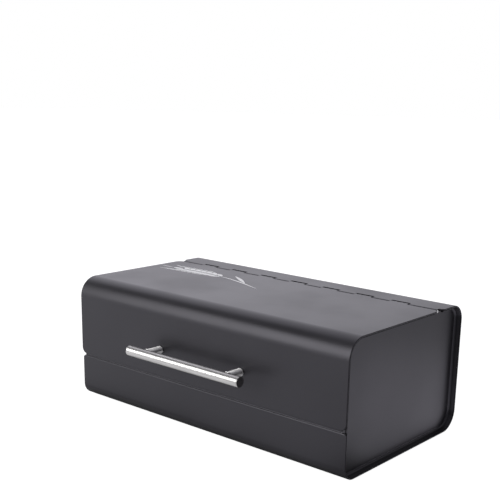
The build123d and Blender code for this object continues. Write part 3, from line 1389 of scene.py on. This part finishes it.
@dataclass(frozen=True)
class Softbox:
    """A rectangular lamp that faces the front of the box."""

    name: str
    place: Triple
    size: Pair
    watts: float
    target: Triple = (0.0, -0.1, 0.1)

    def hang(self) -> None:
        """Hang the lamp."""
        light = bpy.data.lights.new(self.name, "AREA")
        light.shape = "RECTANGLE"
        light.size, light.size_y = self.size
        light.energy = self.watts
        lamp = new_object(self.name, light)
        lamp.location = self.place
        way = Vector(self.target) - Vector(self.place)
        lamp.rotation_euler = way.to_track_quat("-Z", "Y").to_euler()


@dataclass
class Studio:
    """The plain floor, the soft light and the camera."""

    camera_place: Triple = (0.7201, -0.8391, 0.4023)
    yaw: float = math.radians(-39.10)
    pitch: float = math.radians(15.086)
    roll: float = math.radians(1.558)
    focal_px: float = 931.8
    principal_px: Pair = (279.22, 335.41)
    image_px: float = 500.0
    sensor_mm: float = 36.0
    clip_start: float = 0.01
    floor_half: float = 12.0
    floor_sides: int = 96
    floor_shade: tuple[float, float, float, float] = (0.25, 0.25, 0.25, 1.0)
    floor_rough: float = 0.9
    floor_gloss: float = 0.1
    floor_seen: Triple = (0.97, 0.97, 0.97)
    floor_glow: Triple = (0.68, 0.68, 0.71)
    # Painted light and painted shade in the floor's glow, seen only in reflections: a brighter pool behind on
    # the right, dark pools around the right, and painted contact shadows in front of the strip and, square,
    # under the box.
    pools: tuple[PaintedLightPool, ...] = (
        PaintedLightPool((0.62, 0.60, 0.0), 0.15, 0.45, (0.285, 0.275, 0.30)),
        PaintedLightPool((0.38, 0.18, 0.0), 0.08, 0.34, (0.97, 0.95, 1.04)),
        PaintedLightPool((0.46, -0.25, 0.0), 0.18, 0.33, (0.0, 0.0, 0.0)),
        PaintedLightPool((0.25, -0.11, 0.0), 0.05, 0.12, (0.08, 0.08, 0.08)),
        PaintedLightPool((0.45, -0.85, 0.0), 0.32, 0.56, (0.0, 0.0, 0.0)),
        PaintedLightPool((0.55, 0.02, 0.0), 0.09, 0.19, (0.0, 0.0, 0.0)),
        PaintedLightPool((-0.01, -0.09, 0.0), 0.025, 0.065, (0.24, 0.24, 0.25), (0.15, 1.0, 1.0)),
        PaintedLightPool((0.0, 0.017, 0.0), 0.107, 0.122, (0.0, 0.0, 0.0), (0.54, 1.0, 1.0), square=True),
    )
    backdrop: tuple[float, float, float, float] = (1.0, 1.0, 1.0, 1.0)
    dim_glow: Triple = (0.24, 0.24, 0.25)
    back_glow: Triple = (1.35, 1.33, 1.44)
    back_from: Pair = (-0.10, 0.20)
    left_from: Pair = (0.30, -0.90)
    right_glow: Triple = (0.03, 0.03, 0.03)
    right_from: Pair = (-0.20, 0.20)
    high_glow: Triple = (0.38, 0.38, 0.41)
    high_from: Pair = (0.20, 0.42)
    lamps: tuple[Softbox, ...] = (
        Softbox("left_front", (-0.85, -1.72, 0.88), (2.0, 1.45), 30.0),
        Softbox("front", (-0.60, -1.80, 0.90), (0.7, 1.2), 5.0),
    )

    def build(self) -> None:
        """Build the floor, the light and the camera."""
        bpy.context.scene.view_settings.view_transform = "Standard"
        self.build_floor()
        self.build_surround()
        for lamp in self.lamps:
            lamp.hang()
        self.build_camera()

    def build_floor(self) -> None:
        """Lay a plain pale floor."""
        mesh = bmesh.new()
        bmesh.ops.create_circle(mesh, cap_ends=True, segments=self.floor_sides, radius=self.floor_half)
        data = new_mesh("studio_floor", mesh)
        floor = new_object("studio_floor", data)
        data.materials.append(new_material("pale_floor", self.shade_floor))

    def shade_floor(self, sheet: NodeSheet) -> bpy.types.Node:
        """Place the floor's nodes. It looks evenly white to the camera, and reflections see its glow with the
        pools of painted light and painted shade in it.

        Args:
            sheet: the floor material's node sheet.

        Returns:
            The shader.
        """
        glow = self.floor_glow
        # Each pool blends its painted light or painted shade into the glow that reflections see.
        for pool in self.pools:
            place = sheet.object_place(pool.shrink)
            measure = sheet.square_distance if pool.square else sheet.distance
            nearness = sheet.ramp(measure(place, pool.place), pool.outer, pool.inner)
            glow = sheet.blend(nearness, glow, pool.glow)
        seen = sheet.place("ShaderNodeLightPath")
        return sheet.place(
            "ShaderNodeBsdfPrincipled",
            {
                "Base Color": self.floor_shade,
                "Roughness": self.floor_rough,
                "Specular IOR Level": self.floor_gloss,
                "Emission Color": sheet.blend(seen.outputs["Is Camera Ray"], glow, self.floor_seen),
                "Emission Strength": 1.0,
            },
        )

    def build_surround(self) -> None:
        """Surround the object with dim light, brighter at the back left and darker low on the right."""
        world = bpy.data.worlds.new("studio_surround")
        world.use_nodes = True
        sheet = NodeSheet(world.node_tree)
        way = sheet.place("ShaderNodeTexCoord").outputs["Generated"]
        split = sheet.place("ShaderNodeSeparateXYZ", {"Vector": way}).outputs
        behind = sheet.ramp(split["Y"], *self.back_from)
        beside = sheet.ramp(split["X"], *self.left_from)
        share = sheet.place("ShaderNodeMath", {0: behind, 1: beside}, operation="MULTIPLY")
        right = sheet.blend(sheet.ramp(split["Z"], *self.high_from), self.right_glow, self.high_glow)
        dim = sheet.blend(sheet.ramp(split["X"], *self.right_from), self.dim_glow, right)
        glow = sheet.blend(share.outputs["Value"], dim, self.back_glow)
        seen = sheet.place("ShaderNodeLightPath").outputs["Is Camera Ray"]
        soft = sheet.place("ShaderNodeBackground", {"Color": glow}).outputs["Background"]
        plain = sheet.place("ShaderNodeBackground", {"Color": self.backdrop}).outputs["Background"]
        both = sheet.place("ShaderNodeMixShader", {"Fac": seen, 1: soft, 2: plain})
        sheet.place("ShaderNodeOutputWorld", {"Surface": both.outputs["Shader"]})
        bpy.context.scene.world = world

    def build_camera(self) -> None:
        """Set up the camera where the photograph was taken from."""
        level = math.cos(self.pitch)
        ahead = Vector((math.sin(self.yaw) * level, math.cos(self.yaw) * level, -math.sin(self.pitch)))
        right = Vector((math.cos(self.yaw), -math.sin(self.yaw), 0.0))
        over = right.cross(ahead)
        tilted_right = right * math.cos(self.roll) + over * math.sin(self.roll)
        tilted_over = over * math.cos(self.roll) - right * math.sin(self.roll)
        turn = Matrix((tilted_right, tilted_over, -ahead)).transposed()
        lens = bpy.data.cameras.new("photo_camera")
        lens.sensor_width = self.sensor_mm
        lens.lens = self.focal_px / self.image_px * self.sensor_mm
        lens.shift_x = 0.5 - self.principal_px[0] / self.image_px
        lens.shift_y = self.principal_px[1] / self.image_px - 0.5
        lens.clip_start = self.clip_start
        camera = new_object("photo_camera", lens)
        camera.matrix_world = Matrix.Translation(self.camera_place) @ turn.to_4x4()
        bpy.context.scene.camera = camera


def main() -> None:
    """Build the bread box piece by piece, then the studio."""
    logging.basicConfig(level=logging.INFO, format="%(name)s: %(message)s")
    plan = BoxPlan.from_frame()
    BodyWrap(plan).build()
    EndPanels(plan).build()
    HingePin(plan).build()
    Lid(plan).build()
    WheatEar(plan).build()
    Handle(plan).build()
    dress_node("handle_screws", FASTENER_STEEL)
    dress_node("handle_washers", FASTENER_STEEL)
    Feet().build()
    Studio().build()


if __name__ == "__main__":
    main()
